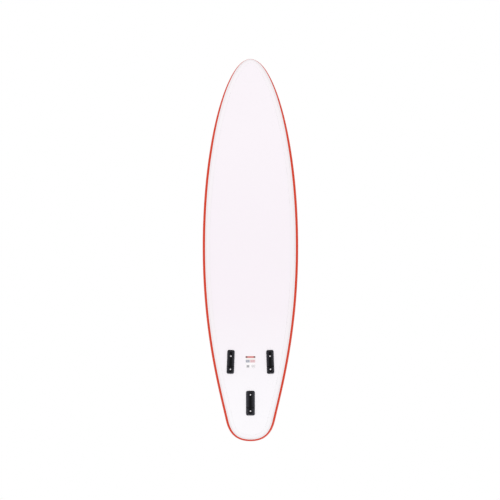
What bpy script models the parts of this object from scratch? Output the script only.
"""Inflatable stand up paddleboard, built piece by piece.

Metres. +Z is up, through the deck. +Y points to the nose, +X to starboard. The origin is on the ground, under
the middle of the board's length and width. The hull is drawn flat first and then bent to its rocker.
"""
import math

import bmesh
import bpy
import numpy as np
from mathutils import Matrix, Vector

# ---- driving dimensions: the hull ------------------------------------------------------------------------
BOARD_LENGTH = 3.20
BOARD_WIDTH = 0.79
BOARD_THICKNESS = 0.12          # between the outer faces of the bottom and deck panels
SKIN = 0.0012                   # coated fabric of the panels and the rail
TAPE = 0.0008                   # seam tapes and the coloured rail stripe
CLOTH = 0.0008                  # base cloth of the drop-stitch core
GAP = 0.0003                    # left between pieces that touch
PLAN_STEPS = (16, 9, 5)         # straight runs in each of the outline's three curves
ROUND_STEPS = 24                # sides of a turned piece
SMALL_ROUND_STEPS = 16
WELD = 0.00001                  # corners closer than this are one
STRAIGHT = 0.001                # radians; a smaller turn is no edge

# plan shape
NOSE_ROUND = 0.51               # nose handle, as a share of half the width
NOSE_FULLNESS = 0.547           # wide-point handle, as a share of the run to the nose
TAIL_FULLNESS = 0.488           # wide-point handle, as a share of the run to the tail corner
WIDE_POINT = 0.003              # widest place, forward of the middle, as a share of the length
TAIL_CORNER = (0.265, 0.196)    # half width there as a share of the width, and distance from the tail end
TAIL_CORNER_SLOPE = 0.23        # sideways run per metre along the board at the corner
TAIL_HANDLES = (0.25, 0.067, 0.17)

# rocker
NOSE_ROCKER_RUN = 1.30          # the bottom starts to rise this far behind the nose
NOSE_ROCKER_RISE = 0.22
NOSE_ROCKER_POWER = 2.2
TAIL_ROCKER_RUN = 1.15
TAIL_ROCKER_SLOPE = 0.04
TAIL_ROCKER_BLEND = 0.10
FOLD_SPACING = 0.05             # facets of the bent sheets

# rail section, angles from straight down round the outside to straight up
RAIL_STEP = 15
TAPE_ANGLES = (30, 60)
STRIPE_ANGLES = (45, 135)
CORE_SECTIONS = 11              # lengths that the drop-stitch core is drawn in
YARN_PITCH = 0.10               # drawn bundles, many real yarns each
YARN_SIZE = 0.006
YARN_MARGIN = 4 * YARN_SIZE     # bare cloth left beside the rail and round the valve

# ---- driving dimensions: fin bases and label -------------------------------------------------------------
SIDE_BASE = {"length": 0.197, "width": 0.061, "from_tail": 0.668, "holes": (0.051, 0.160)}
CENTRE_BASE = {"length": 0.205, "width": 0.073, "from_tail": 0.3265, "holes": (0.034, 0.169)}
SIDE_BASE_OFFSET = 0.163        # from the centreline
SIDE_BASE_TOE_IN = math.radians(2.1)
BASE_PLATE = 0.0025
BASE_CORNER = 0.014
CHANNEL_WIDTH = 0.046
CHANNEL_HEIGHT = 0.0095
CHANNEL_MARGIN = 0.007          # plate left beyond each end of the channel
SLOT_WIDTH = 0.018              # between the lips that hold the fin's foot
SLOT_MARGIN = 0.009             # channel left beyond each end of the slot
SLOT_FLOOR = 0.002
CHANNEL_CORNER = 0.007
SLOT_CORNER = 0.0072
SLOT_CORNER_STEPS = 3
FOOT_ROOM = (0.024, 0.0035)     # width and height of the space under the lips
BASE_HOLE_RADIUS = 0.0062
LOCK_GROOVE_WIDTH = 0.006
LOCK_GROOVE_AT = 0.69           # share of the base's length from its front end
LABEL_SIZE = (0.082, 0.103)
LABEL_CORNER = 0.004
LABEL_CORNER_STEPS = 2

# ---- driving dimensions: deck ----------------------------------------------------------------------------
PAD_THICKNESS = 0.005
PAD_INSET = 0.085               # from the board's outline
PAD_CORNER = 0.05
MAIN_PAD = (0.62, -0.72)        # front and rear ends, from the middle of the board
PAD_GROOVE = 0.010
TAIL_PAD_FROM_TAIL = 0.38
PAD_WINDOW = (0.13, 0.36)       # opening round the carry handle
PAD_WINDOW_CORNER = 0.03
PAD_SIDE_STEP = 0.15            # straight runs along a pad's sides
PAD_CORNER_STEPS = 4

GRIP_LENGTH = 0.12
GRIP_SECTION = (0.046, 0.018)
GRIP_HEIGHT = 0.046             # middle of the grip over the deck
HANDLE_WEBBING = (0.038, 0.003)
HANDLE_NECK = 0.014             # width of the folded webbing at its ends
HANDLE_SPAN = 0.240             # between the sewn ends
HANDLE_AXIS_HEIGHT = 0.009
HANDLE_FLAT = 0.006             # level webbing beyond each end of the grip
HANDLE_STATIONS = (0.0, 0.15, 0.5, 0.85, 1.0)
GRIP_CORNER = 0.0081
ANCHOR_PATCH = (0.075, 0.085)
ANCHOR_PATCH_CORNER = 0.02
ANCHOR_BLOCK = (0.022, 0.016, 0.012)
ANCHOR_EDGE = 0.002
ANCHOR_EDGE_STEPS = 2

D_RING_WIRE = 0.004
D_RING_BAR = 0.026              # clear width inside
D_RING_DEPTH = 0.026            # bar to the middle of the bow
D_RING_CORNER = 0.004
D_RING_CORNER_STEPS = 3
D_RING_BOW_STEPS = 9
D_RING_WIRE_STEPS = 2
LOOP_WIDTH = 0.022
LOOP_LEG = 0.0075
LOOP_STRAP = 0.0015
LOOP_STEPS = 5
PATCH_RADIUS = 0.045
PATCH = 0.0009
NOSE_RING_FROM_NOSE = 0.18
TAIL_RING_FROM_TAIL = 0.125
BOW_RINGS = ((0.120, 0.46), (0.135, 0.88))   # in from the board's side, and behind the nose

# ---- driving dimensions: inflation valve -----------------------------------------------------------------
VALVE_FROM_TAIL = 0.24
VALVE_FLANGE_RADIUS = 0.029
VALVE_FLANGE = 0.004
VALVE_FLANGE_EDGE = 0.0015
VALVE_BARREL_RADIUS = 0.019
VALVE_BORE_RADIUS = 0.0145
VALVE_DEPTH = 0.030
VALVE_SEAT_RADIUS = 0.0115
VALVE_SEAT = 0.0025
VALVE_GASKET = 0.0012
VALVE_GASKET_INSET = 0.002      # from the flange's edge
VALVE_NUT = 0.006
VALVE_NUT_RADIUS = 0.030
STEM_RADIUS = 0.003
STEM_CLEARANCE = 0.0004
STEM_BUTTON_RADIUS = 0.006
STEM_BUTTON = 0.004
STEM_BUTTON_EDGE = 0.001
STEM_BUTTON_DROP = 0.003        # below the top of the flange
STEM_STEPS = 20
HUB_RADIUS = 0.0062
HUB_DEPTH = 0.019
HUB_THICKNESS = 0.003
WEBS = 3
WEB = (0.003, 0.0024)           # width and depth of the arms that hold the hub
WEB_ROOT = 0.001                # how far an arm runs into the barrel's wall
SPRING_WIRE = 0.001
SPRING_TURNS = 4
SPRING_STEPS = 9                # straight runs in a turn
POPPET_RADIUS = 0.0155
POPPET = 0.0025
POPPET_SEAL = 0.0015
CAP_RADIUS = 0.0275
CAP_TOP = 0.003
CAP_EDGE = 0.0015
CAP_RIM = (0.0035, 0.003)       # wall and depth below the top
CAP_GRIP = (0.005, 0.033, 0.006)
CAP_SEAL_WIDTH = 0.005
CAP_HINGE_REACH = 0.0085        # from the cap's edge to the hinge line
KNUCKLE_RADIUS = 0.0022
KNUCKLE_WIDTH = 0.008
KNUCKLE_STEPS = 12
CAP_ARM_DEPTH = 0.0031
STRAP_WIDTH = 0.003
STRAP_THICKNESS = 0.002
EAR_THICKNESS = 0.0025
EAR_INSET = 0.0005              # how far the ears start inside the strap's ring
BRIDGE = (0.004, 0.0018)        # spare width past the knuckle, and depth

# ---- worked out from these -------------------------------------------------------------------------------
MIDDLE = BOARD_THICKNESS / 2
RAIL_RADIUS = MIDDLE
TAPE_RADIUS = RAIL_RADIUS + GAP + TAPE
STRIPE_RADIUS = TAPE_RADIUS + GAP + TAPE
NOSE = BOARD_LENGTH / 2
TAIL = -BOARD_LENGTH / 2
RAIL_NOSE = NOSE - STRIPE_RADIUS
RAIL_TAIL = TAIL + STRIPE_RADIUS

for leftover in list(bpy.data.objects):
    bpy.data.objects.remove(leftover, do_unlink=True)
parts = bpy.data.collections.new("stand_up_paddleboard")
cutters = bpy.data.collections.new("cutters")
bpy.context.scene.collection.children.link(parts)
bpy.context.scene.collection.children.link(cutters)


# ---- materials -------------------------------------------------------------------------------------------
FINISHES = {
    "white_pvc": ((0.90, 0.88, 0.89), 0.45, 0.0),
    "red_pvc": ((0.58, 0.07, 0.03), 0.45, 0.0),
    "yarn": ((0.85, 0.85, 0.82), 0.9, 0.0),
    "black_plastic": ((0.03, 0.03, 0.03), 0.5, 0.0),
    "label_print": ((0.55, 0.50, 0.52), 0.5, 0.0),
    "eva_foam": ((0.55, 0.57, 0.58), 0.9, 0.0),
    "webbing": ((0.05, 0.05, 0.05), 0.9, 0.0),
    "neoprene": ((0.06, 0.06, 0.07), 0.85, 0.0),
    "steel": ((0.65, 0.65, 0.66), 0.25, 1.0),
    "grey_plastic": ((0.25, 0.26, 0.28), 0.45, 0.0),
    "rubber": ((0.04, 0.04, 0.04), 0.7, 0.0),
}


def finish(obj, kind):
    """Give the object a material of its own, of the named kind."""
    colour, roughness, metallic = FINISHES[kind]
    material = bpy.data.materials.new(obj.name + "_" + kind)
    material.use_nodes = True
    shader = material.node_tree.nodes["Principled BSDF"]
    shader.inputs["Base Color"].default_value = (*colour, 1.0)
    shader.inputs["Roughness"].default_value = roughness
    shader.inputs["Metallic"].default_value = metallic
    obj.data.materials.clear()
    obj.data.materials.append(material)


# ---- the hull's plan and rocker --------------------------------------------------------------------------
def bezier(p0, p1, p2, p3, steps):
    """Points and directions along a cubic curve, both ends included."""
    t = np.linspace(0.0, 1.0, steps + 1)[:, None]
    p0, p1, p2, p3 = (np.array(p, dtype=float) for p in (p0, p1, p2, p3))
    points = (1 - t) ** 3 * p0 + 3 * (1 - t) ** 2 * t * p1 + 3 * (1 - t) * t ** 2 * p2 + t ** 3 * p3
    along = (1 - t) ** 2 * (p1 - p0) + 2 * (1 - t) * t * (p2 - p1) + t ** 2 * (p3 - p2)
    return points, along / np.linalg.norm(along, axis=1)[:, None]


def half_outline(inset):
    """Starboard half of the board's outline from nose to tail, moved inwards by inset."""
    half = BOARD_WIDTH / 2
    wide = WIDE_POINT * BOARD_LENGTH
    corner = np.array((TAIL_CORNER[0] * BOARD_WIDTH, TAIL + TAIL_CORNER[1]))
    lean = np.array((TAIL_CORNER_SLOPE, 1.0))
    lean = lean / np.linalg.norm(lean)
    before, after, end = TAIL_HANDLES
    nose_run = NOSE_FULLNESS * (NOSE - wide)
    tail_run = TAIL_FULLNESS * (wide - corner[1])
    spans = (
        bezier((0, NOSE), (NOSE_ROUND * half, NOSE), (half, wide + nose_run), (half, wide), PLAN_STEPS[0]),
        bezier((half, wide), (half, wide - tail_run), corner + before * lean, corner, PLAN_STEPS[1]),
        bezier(corner, corner - after * lean, (end, TAIL), (0, TAIL), PLAN_STEPS[2]),
    )
    points = np.vstack([spans[0][0], spans[1][0][1:], spans[2][0][1:]])
    along = np.vstack([spans[0][1], spans[1][1][1:], spans[2][1][1:]])
    inwards = np.column_stack([along[:, 1], -along[:, 0]])
    moved = points + inset * inwards
    moved[0, 0] = 0.0
    moved[-1, 0] = 0.0
    return moved


def outline(inset):
    """The closed outline, clockwise seen from above, starting at the nose."""
    starboard = half_outline(inset)
    port = starboard[-2:0:-1] * (-1, 1)
    return np.vstack([starboard, port])


def half_width(y, inset):
    """Half the width of the inset outline at y."""
    side = half_outline(inset)
    return float(np.interp(y, side[::-1, 1], side[::-1, 0]))


def rocker(y):
    """Height of the flat-drawn bottom at y, and its slope."""
    start = NOSE - NOSE_ROCKER_RUN
    if y > start:
        share = (y - start) / (RAIL_NOSE - start)
        height = NOSE_ROCKER_RISE * share ** NOSE_ROCKER_POWER
        return height, height * NOSE_ROCKER_POWER / (y - start)
    behind = TAIL + TAIL_ROCKER_RUN - y
    if behind >= TAIL_ROCKER_BLEND:
        return TAIL_ROCKER_SLOPE * behind, -TAIL_ROCKER_SLOPE
    if behind > -TAIL_ROCKER_BLEND:
        into = behind + TAIL_ROCKER_BLEND
        curve = TAIL_ROCKER_SLOPE / (4 * TAIL_ROCKER_BLEND)
        return curve * into ** 2, -2 * curve * into
    return 0.0, 0.0


def bend(point):
    """Carry a point of the flat-drawn board to its place on the rockered board."""
    x, y, z = point
    inner = min(max(y, RAIL_TAIL), RAIL_NOSE)
    beyond = y - inner
    height, slope = rocker(inner)
    angle = math.atan(slope)
    lift = z - MIDDLE
    return Vector((
        x,
        inner + beyond * math.cos(angle) - lift * math.sin(angle),
        MIDDLE + height + beyond * math.sin(angle) + lift * math.cos(angle),
    ))


def fold_lines():
    """Places along the board where a sheet needs an edge to follow the rocker."""
    lines = np.arange(math.ceil(TAIL / FOLD_SPACING), math.floor(NOSE / FOLD_SPACING) + 1) * FOLD_SPACING
    blend = TAIL + TAIL_ROCKER_RUN
    nose_part = [y for y in lines if NOSE - NOSE_ROCKER_RUN - FOLD_SPACING < y < RAIL_NOSE]
    tail_part = [y for y in lines if abs(y - blend) < TAIL_ROCKER_BLEND + FOLD_SPACING]
    return sorted(set(nose_part + tail_part + [RAIL_TAIL, RAIL_NOSE]))


# ---- building blocks -------------------------------------------------------------------------------------
def add(obj, kind=None, parent=None, at=(0, 0, 0)):
    """Put a finished object among the parts."""
    parts.objects.link(obj)
    if parent is not None:
        obj.parent = parent
    obj.location = at
    if kind is not None:
        finish(obj, kind)
    return obj


def cutter(obj, parent=None, at=(0, 0, 0)):
    """Put a tool body among the cutters, out of sight."""
    cutters.objects.link(obj)
    obj.display_type = "WIRE"
    obj.hide_render = True
    if parent is not None:
        obj.parent = parent
    obj.location = at
    return obj


def boolean(target, tool, operation):
    """Cut or join the target with a tool body."""
    modifier = target.modifiers.new(operation.lower(), "BOOLEAN")
    modifier.operation = operation
    modifier.object = tool
    modifier.solver = "EXACT"


def from_bmesh(name, bm):
    mesh = bpy.data.meshes.new(name)
    bm.to_mesh(mesh)
    bm.free()
    return bpy.data.objects.new(name, mesh)


def box(name, size, centre):
    """A block of the given size about its centre."""
    bm = bmesh.new()
    bmesh.ops.create_cube(bm, size=1.0, matrix=Matrix.Translation(centre) @ Matrix.Diagonal((*size, 1.0)))
    return from_bmesh(name, bm)


def cylinder(name, radius, depth, centre, segments=SMALL_ROUND_STEPS, axis="Z"):
    """A round bar about its centre."""
    turn = {"X": Matrix.Rotation(math.pi / 2, 4, "Y"), "Y": Matrix.Rotation(math.pi / 2, 4, "X"),
            "Z": Matrix.Identity(4)}[axis]
    bm = bmesh.new()
    bmesh.ops.create_cone(bm, cap_ends=True, segments=segments, radius1=radius, radius2=radius, depth=depth,
                          matrix=Matrix.Translation(centre) @ turn)
    return from_bmesh(name, bm)


def turned(name, profile, segments=ROUND_STEPS):
    """A closed profile of (radius, height) points, outer side running down, turned about Z."""
    mesh = bpy.data.meshes.new(name)
    count = len(profile)
    edges = [(i, (i + 1) % count) for i in range(count)]
    if profile[0][0] == 0 and profile[-1][0] == 0:
        edges = edges[:-1]
    mesh.from_pydata([(r, 0.0, z) for r, z in profile], edges, [])
    obj = bpy.data.objects.new(name, mesh)
    screw = obj.modifiers.new("turn", "SCREW")
    screw.axis = "Z"
    screw.steps = segments
    screw.render_steps = segments
    screw.use_merge_vertices = True
    screw.merge_threshold = WELD
    screw.use_smooth_shade = True
    return obj


def polyline(name, loops, cyclic=True, flat=False):
    """A curve of straight-sided splines, one for each list of points."""
    curve = bpy.data.curves.new(name, "CURVE")
    curve.dimensions = "2D" if flat else "3D"
    for loop in loops:
        spline = curve.splines.new("POLY")
        spline.points.add(len(loop) - 1)
        for point, place in zip(spline.points, loop):
            point.co = (*place, 1.0) if len(place) == 3 else (*place, 0.0, 1.0)
        spline.use_cyclic_u = cyclic
    return bpy.data.objects.new(name, curve)


def plate(name, loops, low, high):
    """A flat piece between two heights, with one outer loop and any holes after it."""
    obj = polyline(name, loops, flat=True)
    obj.data.fill_mode = "BOTH"
    obj.data.extrude = (high - low) / 2
    obj.location = (0, 0, (high + low) / 2)
    return obj


def as_mesh(obj):
    """Turn an object into a plain mesh object in place, its caps welded and its modifiers applied."""
    if obj.name not in parts.objects:
        parts.objects.link(obj)
    bpy.context.view_layer.update()
    evaluated = obj.evaluated_get(bpy.context.evaluated_depsgraph_get())
    mesh = bpy.data.meshes.new_from_object(evaluated)
    matrix = obj.matrix_world.copy()
    name = obj.name
    bpy.data.objects.remove(obj, do_unlink=True)
    mesh.name = name
    bm = bmesh.new()
    bm.from_mesh(mesh)
    bmesh.ops.remove_doubles(bm, verts=bm.verts, dist=WELD)
    bm.to_mesh(mesh)
    bm.free()
    solid = bpy.data.objects.new(name, mesh)
    solid.matrix_world = matrix
    return solid


def bend_mesh(obj, folds):
    """Give a flat-drawn solid its fold lines and carry every corner to the rockered board."""
    matrix = obj.matrix_world.copy()
    bm = bmesh.new()
    bm.from_mesh(obj.data)
    bm.transform(matrix)
    bmesh.ops.dissolve_limit(bm, angle_limit=STRAIGHT, verts=bm.verts, edges=bm.edges)
    for y in folds:
        everything = bm.verts[:] + bm.edges[:] + bm.faces[:]
        bmesh.ops.bisect_plane(bm, geom=everything, dist=WELD / 10, plane_co=(0, y, 0), plane_no=(0, 1, 0))
    for vert in bm.verts:
        vert.co = bend(vert.co)
    bm.to_mesh(obj.data)
    bm.free()
    obj.matrix_world = Matrix.Identity(4)


def sheet(name, loops, low, high, kind):
    """A sheet of material drawn flat between two heights and bent with the board."""
    obj = as_mesh(plate(name, loops, low, high))
    bend_mesh(obj, fold_lines())
    return add(obj, kind)


def circle(radius, segments, centre=(0, 0)):
    """Points round a circle."""
    turns = [2 * math.pi * i / segments for i in range(segments)]
    return [(centre[0] + radius * math.cos(a), centre[1] + radius * math.sin(a)) for a in turns]


def rounded_box(width, length, corner, centre=(0, 0), steps=4):
    """Points round a rectangle with round corners."""
    points = []
    corners = ((1, 1, 0), (-1, 1, 90), (-1, -1, 180), (1, -1, 270))
    for side, end, start in corners:
        middle = (centre[0] + side * (width / 2 - corner), centre[1] + end * (length / 2 - corner))
        for i in range(steps + 1):
            angle = math.radians(start + 90 * i / steps)
            points.append((middle[0] + corner * math.cos(angle), middle[1] + corner * math.sin(angle)))
    return points


def seat(name, x, y, on_deck, turn=0.0):
    """An empty on the deck or the bottom, its Z pointing out of the board and its Y towards the nose."""
    height, slope = rocker(y)
    angle = math.atan(slope)
    face = BOARD_THICKNESS if on_deck else 0.0
    forward = Vector((0, math.cos(angle), math.sin(angle)))
    up = Vector((0, -math.sin(angle), math.cos(angle)))
    out = up if on_deck else -up
    across = forward.cross(out)
    basis = Matrix((across, forward, out)).transposed().to_4x4()
    empty = bpy.data.objects.new(name, None)
    empty.empty_display_size = 0.05
    empty.matrix_world = Matrix.Translation(bend((x, y, face))) @ basis @ Matrix.Rotation(turn, 4, "Z")
    parts.objects.link(empty)
    return empty


# ---- hull: panels, rail, tapes, stripe and core ----------------------------------------------------------
def rail_piece(name, radius, thickness, angles, kind):
    """A band of the rail between two angles, swept round the board on the rail's centre line."""
    steps = range(angles[0], angles[1] + 1, RAIL_STEP)
    directions = [(math.sin(math.radians(a)), -math.cos(math.radians(a))) for a in steps]
    outer = [(radius * u, radius * v) for u, v in directions]
    inner = [((radius - thickness) * u, (radius - thickness) * v) for u, v in reversed(directions)]
    profile = cutter(polyline(name + "_section", [[(-u, v) for u, v in outer + inner]], flat=True))
    path = polyline(name, [[(x, y, MIDDLE) for x, y in outline(STRIPE_RADIUS)]])
    path.data.twist_mode = "Z_UP"
    path.data.bevel_mode = "OBJECT"
    path.data.bevel_object = profile
    band = as_mesh(path)
    bpy.data.objects.remove(profile, do_unlink=True)
    for vert in band.data.vertices:
        vert.co = bend(vert.co)
    band.data.shade_smooth()
    return add(band, kind)


def section_outline(front, rear):
    """The core's outline between two places along the board, clockwise from the front."""
    inset = STRIPE_RADIUS + SKIN
    side = [(x, y) for x, y in half_outline(inset) if rear < y < front]
    if front < NOSE - inset:
        side.insert(0, (half_width(front, inset), front))
    if rear > TAIL + inset:
        side.append((half_width(rear, inset), rear))
    return side + [(-x, y) for x, y in reversed(side) if x > 0]


def yarn_bundles(name, y):
    """One row of a core section's yarns as a tool body of square bundles between the two cloths."""
    bm = bmesh.new()
    bottom = SKIN + GAP + CLOTH / 2
    height = BOARD_THICKNESS - 2 * bottom
    room = half_width(y, STRIPE_RADIUS) - YARN_MARGIN
    columns = max(1, round(room / YARN_PITCH))
    for x in np.linspace(-room, room, 2 * columns + 1):
        if math.hypot(x, y - TAIL - VALVE_FROM_TAIL) < VALVE_NUT_RADIUS + YARN_MARGIN:
            continue
        place = Matrix.Translation((x, y, bottom + height / 2))
        size = Matrix.Diagonal((YARN_SIZE, YARN_SIZE, height, 1.0))
        bmesh.ops.create_cube(bm, size=1.0, matrix=place @ size)
    return from_bmesh(name, bm)


def core_section(name, front, rear, barrel_hole):
    """A length of the drop-stitch core: the lower and upper cloths joined by yarns."""
    low = SKIN + GAP
    high = BOARD_THICKNESS - SKIN - GAP
    edge = section_outline(front, rear)
    holes = [barrel_hole] if rear < TAIL + VALVE_FROM_TAIL < front else []
    lower = as_mesh(plate(name, [edge], low, low + CLOTH))
    upper = as_mesh(plate(name + "_upper_cloth", [edge] + holes, high - CLOTH, high))
    add(lower, at=lower.location.copy())
    cutter(upper, at=upper.location.copy())
    yarns = cutter(yarn_bundles(name + "_yarns", (front + rear) / 2))
    boolean(lower, yarns, "UNION")
    boolean(lower, upper, "UNION")
    core = as_mesh(lower)
    for tool in (yarns, upper):
        bpy.data.objects.remove(tool, do_unlink=True)
    bend_mesh(core, fold_lines())
    add(core, "yarn")


def hull():
    edge = outline(STRIPE_RADIUS + GAP)
    barrel_hole = circle(VALVE_BARREL_RADIUS + GAP, ROUND_STEPS, (0, TAIL + VALVE_FROM_TAIL))
    sheet("hull_bottom_panel", [edge], 0.0, SKIN, "white_pvc")
    sheet("hull_deck_panel", [edge, barrel_hole], BOARD_THICKNESS - SKIN, BOARD_THICKNESS, "white_pvc")
    rail_piece("rail_wall", RAIL_RADIUS, SKIN, (0, 180), "white_pvc")
    rail_piece("lower_seam_tape", TAPE_RADIUS, TAPE, TAPE_ANGLES, "white_pvc")
    upper = (180 - TAPE_ANGLES[1], 180 - TAPE_ANGLES[0])
    rail_piece("upper_seam_tape", TAPE_RADIUS, TAPE, upper, "white_pvc")
    rail_piece("rail_stripe", STRIPE_RADIUS, TAPE, STRIPE_ANGLES, "red_pvc")

    ends = np.linspace(NOSE - STRIPE_RADIUS - SKIN, TAIL + STRIPE_RADIUS + SKIN, CORE_SECTIONS + 1)
    for i, (front, rear) in enumerate(zip(ends, ends[1:])):
        core_section("drop_stitch_section_%02d" % (i + 1), front - GAP / 2, rear + GAP / 2, barrel_hole)


# ---- bottom: fin bases and label -------------------------------------------------------------------------
def fin_base(name, spec, x, toe_in):
    """A moulded base: plate, raised channel, fin slot, two round holes and a groove for the locking clip."""
    place = seat(name + "_seat", x, TAIL + spec["from_tail"], False, toe_in)
    length = spec["length"]
    channel_length = length - 2 * CHANNEL_MARGIN
    slot_length = channel_length - 2 * SLOT_MARGIN
    base = as_mesh(plate(name, [rounded_box(spec["width"], length, BASE_CORNER)], GAP, GAP + BASE_PLATE))
    outline_points = rounded_box(CHANNEL_WIDTH, channel_length, CHANNEL_CORNER)
    channel = as_mesh(plate(name + "_channel", [outline_points], GAP + BASE_PLATE / 2, GAP + CHANNEL_HEIGHT))
    slot_points = rounded_box(SLOT_WIDTH, slot_length, SLOT_CORNER, steps=SLOT_CORNER_STEPS)
    floor = GAP + SLOT_FLOOR
    slot = as_mesh(plate(name + "_slot", [slot_points], floor, 2 * CHANNEL_HEIGHT))
    foot_length = slot_length + FOOT_ROOM[0] - SLOT_WIDTH
    foot_points = rounded_box(FOOT_ROOM[0], foot_length, SLOT_CORNER, steps=SLOT_CORNER_STEPS)
    foot = as_mesh(plate(name + "_foot_room", [foot_points], floor, floor + FOOT_ROOM[1]))
    add(base, "black_plastic", place, base.location.copy())
    cutter(channel, place, channel.location.copy())
    cutter(slot, place, slot.location.copy())
    cutter(foot, place, foot.location.copy())
    boolean(base, channel, "UNION")
    boolean(base, slot, "DIFFERENCE")
    boolean(base, foot, "DIFFERENCE")
    for i, from_front in enumerate(spec["holes"]):
        centre = (0, length / 2 - from_front, CHANNEL_HEIGHT / 2)
        hole = cutter(cylinder(name + "_hole_%d" % i, BASE_HOLE_RADIUS, 2 * CHANNEL_HEIGHT, centre), place)
        boolean(base, hole, "DIFFERENCE")
    groove_size = (CHANNEL_WIDTH * 2, LOCK_GROOVE_WIDTH, CHANNEL_HEIGHT)
    groove_low = floor + FOOT_ROOM[1] + SLOT_FLOOR / 2
    groove_centre = (0, length * (0.5 - LOCK_GROOVE_AT), groove_low + CHANNEL_HEIGHT / 2)
    groove = cutter(box(name + "_groove", groove_size, groove_centre), place)
    boolean(base, groove, "DIFFERENCE")


def bottom_fittings():
    fin_base("starboard_fin_base", SIDE_BASE, SIDE_BASE_OFFSET, -SIDE_BASE_TOE_IN)
    fin_base("port_fin_base", SIDE_BASE, -SIDE_BASE_OFFSET, SIDE_BASE_TOE_IN)
    fin_base("centre_fin_base", CENTRE_BASE, 0.0, 0.0)
    middle = (0, TAIL + SIDE_BASE["from_tail"])
    label = rounded_box(*LABEL_SIZE, LABEL_CORNER, middle, LABEL_CORNER_STEPS)
    sheet("information_label", [label], -GAP - TAPE / 2, -GAP, "label_print")


# ---- deck: foam pads -------------------------------------------------------------------------------------
def pad_outline(front, rear):
    """A pad's outline: it follows the board's sides and has round corners."""
    side = []
    for end, start in ((front - PAD_CORNER, 90), (rear + PAD_CORNER, 0)):
        middle = half_width(end, PAD_INSET) - PAD_CORNER
        for i in range(PAD_CORNER_STEPS + 1):
            angle = math.radians(start - 90 * i / PAD_CORNER_STEPS)
            side.append((middle + PAD_CORNER * math.cos(angle), end + PAD_CORNER * math.sin(angle)))
        if start == 90:
            count = int((front - rear) / PAD_SIDE_STEP)
            for i in range(1, count):
                y = front - PAD_CORNER - (front - rear - 2 * PAD_CORNER) * i / count
                side.append((half_width(y, PAD_INSET), y))
    return side + [(-x, y) for x, y in reversed(side)]


def deck_pads():
    low = BOARD_THICKNESS + GAP
    high = low + PAD_THICKNESS
    window = rounded_box(*PAD_WINDOW, PAD_WINDOW_CORNER)
    sheet("main_deck_pad", [pad_outline(*MAIN_PAD), window], low, high, "eva_foam")
    rear = (MAIN_PAD[1] - PAD_GROOVE, TAIL + TAIL_PAD_FROM_TAIL)
    sheet("tail_deck_pad", [pad_outline(*rear)], low, high, "eva_foam")


# ---- deck: carry handle ----------------------------------------------------------------------------------
def handle_webbing(name):
    """The folded webbing: narrow at its sewn ends, full width where it rises into the grip."""
    half = HANDLE_SPAN / 2
    flat = GRIP_LENGTH / 2 + HANDLE_FLAT
    rise = GRIP_HEIGHT - HANDLE_AXIS_HEIGHT
    thick = HANDLE_WEBBING[1]
    side = []
    for share in HANDLE_STATIONS:
        ease = share * share * (3 - 2 * share)
        y = half - share * (half - flat)
        width = HANDLE_NECK + (HANDLE_WEBBING[0] - HANDLE_NECK) * ease
        side.append((y, HANDLE_AXIS_HEIGHT + rise * ease, width / 2))
    stations = side + [(-y, z, w) for y, z, w in reversed(side)]
    bm = bmesh.new()
    rings = []
    for y, z, w in stations:
        corners = ((1, -1), (1, 1), (-1, 1), (-1, -1))
        ring = [bm.verts.new((sx * w, y, z + sz * thick / 2)) for sx, sz in corners]
        rings.append(ring)
    for a, b in zip(rings, rings[1:]):
        for i in range(4):
            bm.faces.new((a[i], a[(i + 1) % 4], b[(i + 1) % 4], b[i]))
    bm.faces.new(rings[0][::-1])
    bm.faces.new(rings[-1])
    bmesh.ops.recalc_face_normals(bm, faces=bm.faces)
    return from_bmesh(name, bm)


def carry_handle():
    place = seat("carry_handle_seat", 0, 0, True)
    turn_line = bpy.data.objects.new("carry_handle_axis", None)
    parts.objects.link(turn_line)
    turn_line.parent = place
    turn_line.location = (0, 0, HANDLE_AXIS_HEIGHT)
    down = (0, 0, -HANDLE_AXIS_HEIGHT)
    add(handle_webbing("handle_webbing"), "webbing", turn_line, down)

    wide, thick = GRIP_SECTION
    section = rounded_box(wide, thick, GRIP_CORNER)
    slot = rounded_box(HANDLE_WEBBING[0] + 2 * GAP, HANDLE_WEBBING[1] + 2 * GAP, GAP, steps=1)
    grip = as_mesh(plate("handle_grip", [section, slot], -GRIP_LENGTH / 2, GRIP_LENGTH / 2))
    grip.data.transform(Matrix.Rotation(math.pi / 2, 4, "X"))
    grip.matrix_world = Matrix.Identity(4)
    add(grip, "neoprene", turn_line, (0, 0, GRIP_HEIGHT - HANDLE_AXIS_HEIGHT))

    for word, end in (("front", 1), ("rear", -1)):
        centre = end * (HANDLE_SPAN / 2 + ANCHOR_BLOCK[1] / 2 + GAP)
        patch = [rounded_box(*ANCHOR_PATCH, ANCHOR_PATCH_CORNER, (0, centre))]
        low = BOARD_THICKNESS + GAP
        sheet(word + "_handle_patch", patch, low, low + PATCH, "white_pvc")
        bottom = 2 * GAP + PATCH
        block_centre = (0, centre, bottom + ANCHOR_BLOCK[2] / 2)
        block = box(word + "_handle_anchor", ANCHOR_BLOCK, block_centre)
        add(block, "webbing", place)
        bevel = block.modifiers.new("edges", "BEVEL")
        bevel.width = ANCHOR_EDGE
        bevel.segments = ANCHOR_EDGE_STEPS


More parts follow.
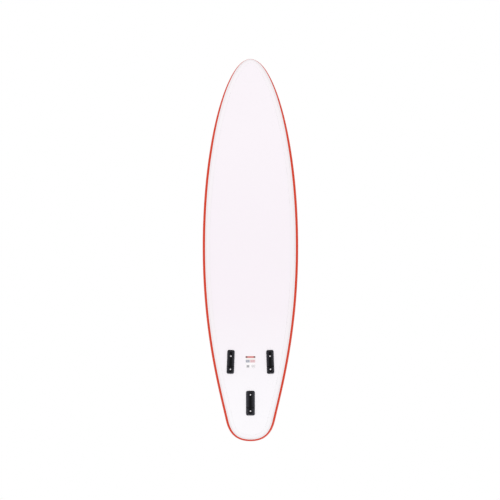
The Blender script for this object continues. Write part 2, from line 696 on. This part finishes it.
# ---- deck: D-rings on their patches ----------------------------------------------------------------------
def d_ring(name):
    """Bent wire: a straight bar on the turning line and a bow behind it."""
    wire = D_RING_WIRE / 2
    half = D_RING_BAR / 2 + wire
    points = []
    for side in (-1, 1):
        middle = (side * (half - D_RING_CORNER), -D_RING_CORNER)
        for i in range(D_RING_CORNER_STEPS + 1):
            lean = 90 * i / D_RING_CORNER_STEPS
            angle = math.radians(90 - lean if side > 0 else lean)
            points.append((middle[0] + side * D_RING_CORNER * math.cos(angle),
                           middle[1] + D_RING_CORNER * math.sin(angle), 0.0))
    bow = D_RING_DEPTH - D_RING_CORNER
    for i in range(1, D_RING_BOW_STEPS):
        angle = math.pi * i / D_RING_BOW_STEPS
        points.append((half * math.cos(angle), -D_RING_CORNER - bow * math.sin(angle), 0.0))
    curve = polyline(name, [points])
    curve.data.bevel_depth = wire
    curve.data.bevel_resolution = D_RING_WIRE_STEPS
    curve.data.twist_mode = "Z_UP"
    return as_mesh(curve)


def webbing_loop(name, axis_height):
    """A strap folded over the ring's bar, its two legs flat on the patch."""
    inner = D_RING_WIRE / 2 + 2 * GAP
    outer = inner + LOOP_STRAP
    low = 2 * GAP + PATCH
    leg = low + LOOP_STRAP
    arcs = [math.pi * i / LOOP_STEPS for i in range(LOOP_STEPS + 1)]
    over = [(outer * math.cos(a), axis_height + outer * math.sin(a)) for a in arcs]
    under = [(inner * math.cos(a), axis_height + inner * math.sin(a)) for a in reversed(arcs)]
    reach = outer + LOOP_LEG
    loop = [(reach, low), (reach, leg), (outer, leg)] + over + [(-outer, leg), (-reach, leg), (-reach, low)]
    loop += [(-inner, low)] + under + [(inner, low)]
    solid = as_mesh(plate(name, [loop], -LOOP_WIDTH / 2, LOOP_WIDTH / 2))
    upright = Matrix(((0, 0, 1, 0), (1, 0, 0, 0), (0, 1, 0, 0), (0, 0, 0, 1)))
    solid.data.transform(upright)
    solid.matrix_world = Matrix.Identity(4)
    return solid


def ring_set(word, x, y):
    """A patch on the deck, the strap on it and the D-ring that swings in the strap."""
    place = seat(word + "_ring_seat", x, y, True)
    axis_height = 2 * GAP + PATCH + 2 * GAP + D_RING_WIRE / 2
    low = BOARD_THICKNESS + GAP
    sheet(word + "_ring_patch", [circle(PATCH_RADIUS, ROUND_STEPS, (x, y))], low, low + PATCH, "white_pvc")
    add(webbing_loop(word + "_ring_loop", axis_height), "webbing", place)
    add(d_ring(word + "_d_ring"), "steel", place, (0, 0, axis_height))


def deck_rings():
    ring_set("nose", 0.0, NOSE - NOSE_RING_FROM_NOSE)
    ring_set("tail", 0.0, TAIL + TAIL_RING_FROM_TAIL)
    for word, (inset, behind) in zip(("front", "rear"), BOW_RINGS):
        offset = half_width(NOSE - behind, inset)
        ring_set(word + "_port", -offset, NOSE - behind)
        ring_set(word + "_starboard", offset, NOSE - behind)


# ---- deck: inflation valve -------------------------------------------------------------------------------
def ring_profile(outer, inner, low, high):
    """Rectangle section of a ring, its outer side running down."""
    return [(outer, high), (outer, low), (inner, low), (inner, high)]


def inflation_valve():
    place = seat("valve_seat", 0, TAIL + VALVE_FROM_TAIL, True)
    flange_low = 2 * GAP + VALVE_GASKET
    flange_high = flange_low + VALVE_FLANGE
    bottom = -VALVE_DEPTH

    gasket_outer = VALVE_FLANGE_RADIUS - VALVE_GASKET_INSET
    gasket = ring_profile(gasket_outer, VALVE_BARREL_RADIUS + GAP, GAP, GAP + VALVE_GASKET)
    add(turned("valve_gasket", gasket), "rubber", place)
    nut_high = -SKIN - 2 * GAP - CLOTH
    nut = ring_profile(VALVE_NUT_RADIUS, VALVE_BARREL_RADIUS + GAP, nut_high - VALVE_NUT, nut_high)
    add(turned("valve_backing_nut", nut), "grey_plastic", place)

    body_profile = [
        (VALVE_FLANGE_RADIUS - VALVE_FLANGE_EDGE, flange_high),
        (VALVE_FLANGE_RADIUS, flange_high - VALVE_FLANGE_EDGE),
        (VALVE_FLANGE_RADIUS, flange_low), (VALVE_BARREL_RADIUS, flange_low), (VALVE_BARREL_RADIUS, bottom),
        (VALVE_SEAT_RADIUS, bottom), (VALVE_SEAT_RADIUS, bottom + VALVE_SEAT),
        (VALVE_BORE_RADIUS, bottom + VALVE_SEAT), (VALVE_BORE_RADIUS, flange_high)]
    body = add(turned("valve_body", body_profile), "grey_plastic", place)
    hub_middle = -HUB_DEPTH - HUB_THICKNESS / 2
    reach = VALVE_BORE_RADIUS + WEB_ROOT
    for i in range(WEBS):
        web = box("valve_web_%d" % i, (reach, *WEB), (reach / 2, 0, hub_middle))
        web.data.transform(Matrix.Rotation(2 * math.pi * i / WEBS, 4, "Z"))
        boolean(body, cutter(web, place), "UNION")
    hub = cutter(cylinder("valve_hub", HUB_RADIUS, HUB_THICKNESS, (0, 0, hub_middle)), place)
    boolean(body, hub, "UNION")
    guide_radius = STEM_RADIUS + STEM_CLEARANCE
    guide = cylinder("valve_guide", guide_radius, 3 * HUB_THICKNESS, (0, 0, hub_middle))
    boolean(body, cutter(guide, place), "DIFFERENCE")

    seal_high = bottom - GAP
    seal_low = seal_high - POPPET_SEAL
    poppet_high = seal_low - GAP
    poppet_low = poppet_high - POPPET
    button_high = flange_high - STEM_BUTTON_DROP
    button_low = button_high - STEM_BUTTON
    stem_profile = [
        (0, button_high), (STEM_BUTTON_RADIUS - STEM_BUTTON_EDGE, button_high),
        (STEM_BUTTON_RADIUS, button_high - STEM_BUTTON_EDGE),
        (STEM_BUTTON_RADIUS, button_low), (STEM_RADIUS, button_low), (STEM_RADIUS, poppet_high),
        (POPPET_RADIUS, poppet_high), (POPPET_RADIUS, poppet_low), (0, poppet_low)]
    add(turned("valve_stem", stem_profile, STEM_STEPS), "grey_plastic", place)
    seal = ring_profile(POPPET_RADIUS, STEM_RADIUS + GAP, seal_low, seal_high)
    add(turned("valve_poppet_seal", seal, STEM_STEPS), "rubber", place)

    spring_low = -HUB_DEPTH + GAP + SPRING_WIRE / 2
    spring_high = button_low - GAP - SPRING_WIRE / 2
    spring_radius = STEM_RADIUS + 2 * GAP + SPRING_WIRE
    points = []
    runs = SPRING_TURNS * SPRING_STEPS
    for i in range(runs + 1):
        turn = 2 * math.pi * i / SPRING_STEPS
        height = spring_low + (spring_high - spring_low) * i / runs
        points.append((spring_radius * math.cos(turn), spring_radius * math.sin(turn), height))
    spring = polyline("valve_spring", [points], cyclic=False)
    spring.data.bevel_depth = SPRING_WIRE / 2
    spring.data.bevel_resolution = 1
    spring.data.use_fill_caps = True
    add(as_mesh(spring), "steel", place)

    rim_low = flange_high + GAP
    cap_under = rim_low + CAP_RIM[1]
    cap_high = cap_under + CAP_TOP
    rim_inner = CAP_RADIUS - CAP_RIM[0]
    cap_profile = [
        (0, cap_high), (CAP_RADIUS - CAP_EDGE, cap_high), (CAP_RADIUS, cap_high - CAP_EDGE),
        (CAP_RADIUS, rim_low),
        (rim_inner, rim_low), (rim_inner, cap_under), (0, cap_under)]
    hinge_y = CAP_RADIUS + CAP_HINGE_REACH
    hinge_z = rim_low + KNUCKLE_RADIUS
    hinge = bpy.data.objects.new("valve_cap_axis", None)
    parts.objects.link(hinge)
    hinge.parent = place
    hinge.location = (0, hinge_y, hinge_z)
    home = Vector((0, -hinge_y, -hinge_z))
    cap = add(turned("valve_cap", cap_profile), "grey_plastic", hinge, home)
    arm_length = CAP_HINGE_REACH + CAP_RIM[0] / 2
    arm_size = (KNUCKLE_WIDTH, arm_length, CAP_ARM_DEPTH)
    arm = box("valve_cap_arm", arm_size, (0, hinge_y - arm_length / 2, hinge_z))
    knuckle_centre = (0, hinge_y, hinge_z)
    knuckle = cylinder("valve_cap_knuckle", KNUCKLE_RADIUS, KNUCKLE_WIDTH, knuckle_centre, KNUCKLE_STEPS, "X")
    grip = box("valve_cap_grip", CAP_GRIP, (0, 0, cap_high))
    for tool in (arm, knuckle, grip):
        boolean(cap, cutter(tool, hinge, home), "UNION")
    seal_outer = rim_inner - GAP
    cap_seal = ring_profile(seal_outer, seal_outer - CAP_SEAL_WIDTH, rim_low, cap_under - GAP)
    add(turned("valve_cap_seal", cap_seal), "rubber", hinge, home)

    ring_inner = VALVE_FLANGE_RADIUS + GAP
    loops = [circle(ring_inner + STRAP_WIDTH, ROUND_STEPS), circle(ring_inner, ROUND_STEPS)]
    strap = as_mesh(plate("valve_cap_strap", loops, GAP, GAP + STRAP_THICKNESS))
    add(strap, "grey_plastic", place, strap.location.copy())
    for i, side in enumerate((-1, 1)):
        inner = KNUCKLE_WIDTH / 2 + GAP
        tall = hinge_z + KNUCKLE_RADIUS - GAP
        long = hinge_y + KNUCKLE_RADIUS - ring_inner - EAR_INSET
        centre = (side * (inner + EAR_THICKNESS / 2), ring_inner + EAR_INSET + long / 2, GAP + tall / 2)
        ear = box("valve_strap_ear_%d" % i, (EAR_THICKNESS, long, tall), centre)
        boolean(strap, cutter(ear, place), "UNION")
    bridge_start = ring_inner + 2 * EAR_INSET
    bridge_long = hinge_y + KNUCKLE_RADIUS - bridge_start
    bridge_centre = (0, bridge_start + bridge_long / 2, GAP + STRAP_THICKNESS / 2)
    bridge_size = (KNUCKLE_WIDTH + 2 * GAP + BRIDGE[0], bridge_long, BRIDGE[1])
    bridge = box("valve_strap_bridge", bridge_size, bridge_centre)
    boolean(strap, cutter(bridge, place), "UNION")


hull()
bottom_fittings()
deck_pads()
carry_handle()
deck_rings()
inflation_valve()
